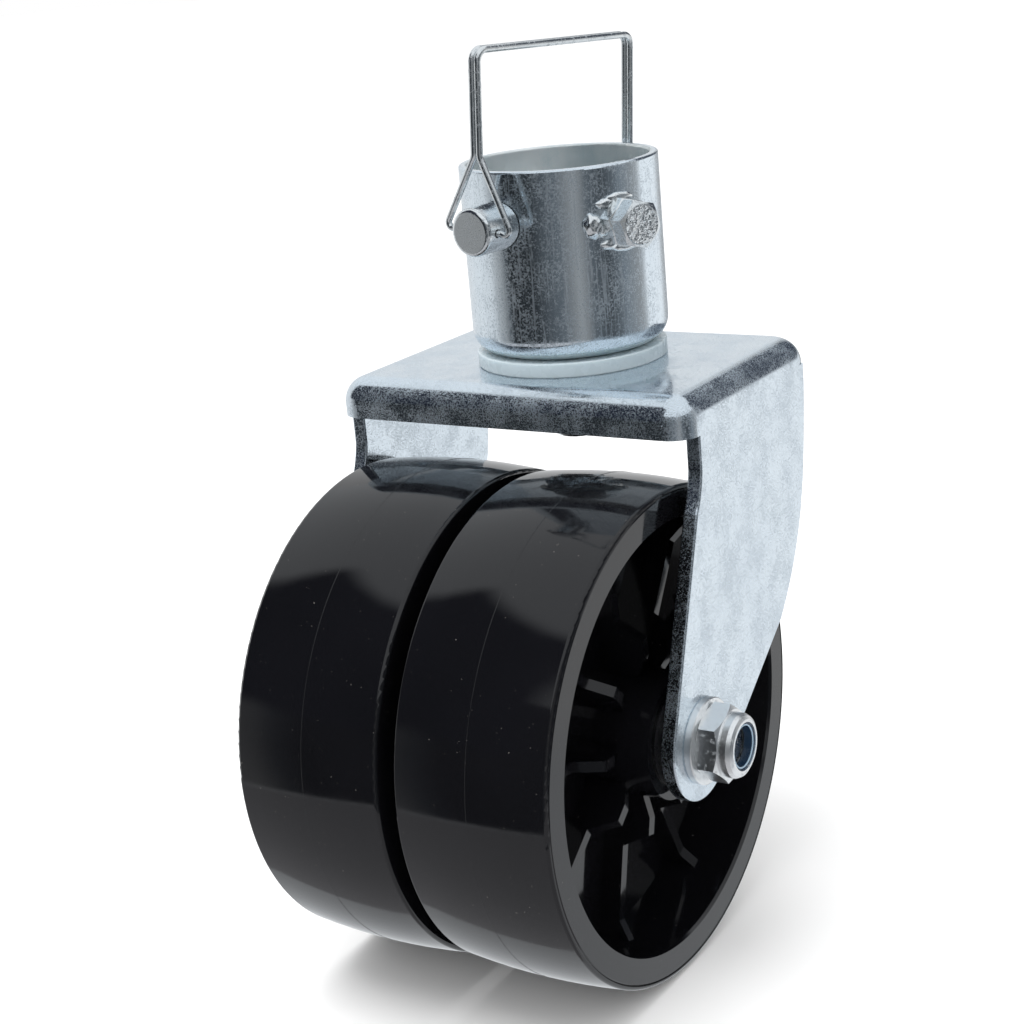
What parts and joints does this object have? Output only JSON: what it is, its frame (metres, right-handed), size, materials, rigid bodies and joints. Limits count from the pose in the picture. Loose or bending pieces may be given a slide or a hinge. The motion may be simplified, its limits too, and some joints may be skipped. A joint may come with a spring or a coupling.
{
  "type": "trailer jack wheel",
  "caption": "Dual wheel swivel caster with a pressed fork and a round top socket, held to a trailer jack's tube by a lock pin with a wire bail and a set bolt.",
  "frame": {"origin": "centre of the socket's mouth, on the swivel axis", "axes": "+Z out of the socket along the swivel axis, X along the wheels' axle, wheels trail towards -Y"},
  "size_m": [0.147, 0.1652, 0.2765],
  "materials": {
    "zinc_fork": "bright zinc plated pressed steel",
    "zinc_socket": "bright zinc plated tube, glossy",
    "zinc_fastener": "bright zinc plated fastener",
    "zinc_wire": "bright zinc plated spring wire",
    "steel_plain": "plain steel tube and rings",
    "wheel_black": "glossy black moulded plastic",
    "nylon_natural": "translucent natural nylon",
    "nylon_blue": "blue nylon lock ring",
    "bushing": "dark grey plastic bushing"
  },
  "bodies": {
    "socket": {"socket_cup": "zinc_socket", "set_bolt_nut": "zinc_fastener", "kingpin_bolt": "zinc_fastener", "kingpin_head_washer": "zinc_fastener", "kingpin_nut_washer": "zinc_fastener", "kingpin_nut": "zinc_fastener", "kingpin_nut_insert": "nylon_blue"},
    "fork": {"fork_frame": "zinc_fork", "swivel_ring": "nylon_natural", "swivel_bush": "nylon_natural", "axle_bolt": "zinc_fastener", "axle_nut": "zinc_fastener", "axle_nut_insert": "nylon_blue", "axle_washers": "zinc_fastener", "axle_sleeve": "steel_plain", "side_spacers": "steel_plain", "centre_spacer": "steel_plain"},
    "right_wheel": {"wheel_right": "wheel_black", "wheel_right_bushings": "bushing"},
    "left_wheel": {"wheel_left": "wheel_black", "wheel_left_bushings": "bushing"},
    "lock_pin": {"lock_pin": "zinc_fastener"},
    "bail": {"bail_wire": "zinc_wire"},
    "set_bolt": {"set_bolt": "zinc_fastener"}
  },
  "joints": [
    {"name": "fork_swivel", "type": "hinge", "parent": "socket", "child": "fork", "pos_m": [0, 0, -0.0618], "axis": [0, 0, 1], "continuous": true},
    {"name": "right_wheel_spin", "type": "hinge", "parent": "fork", "child": "right_wheel", "pos_m": [0.0277, -0.045, -0.1635], "axis": [1, 0, 0], "continuous": true},
    {"name": "left_wheel_spin", "type": "hinge", "parent": "fork", "child": "left_wheel", "pos_m": [-0.0277, -0.045, -0.1635], "axis": [1, 0, 0], "continuous": true},
    {"name": "lock_pin_turn", "type": "hinge", "parent": "socket", "child": "lock_pin", "pos_m": [0, 0, -0.0156], "axis": [-0.1305, -0.9914, 0], "range_deg": [-130, 130]},
    {"name": "bail_swing", "type": "hinge", "parent": "lock_pin", "child": "bail", "pos_m": [-0.00513, -0.03896, -0.0156], "axis": [0.988, -0.1301, -0.0837], "range_deg": [0, 120]},
    {"name": "set_bolt_slide", "type": "slide", "parent": "socket", "child": "set_bolt", "axis": [0.9114, -0.4115, 0], "range_m": [0, 0.008]}
  ]
}
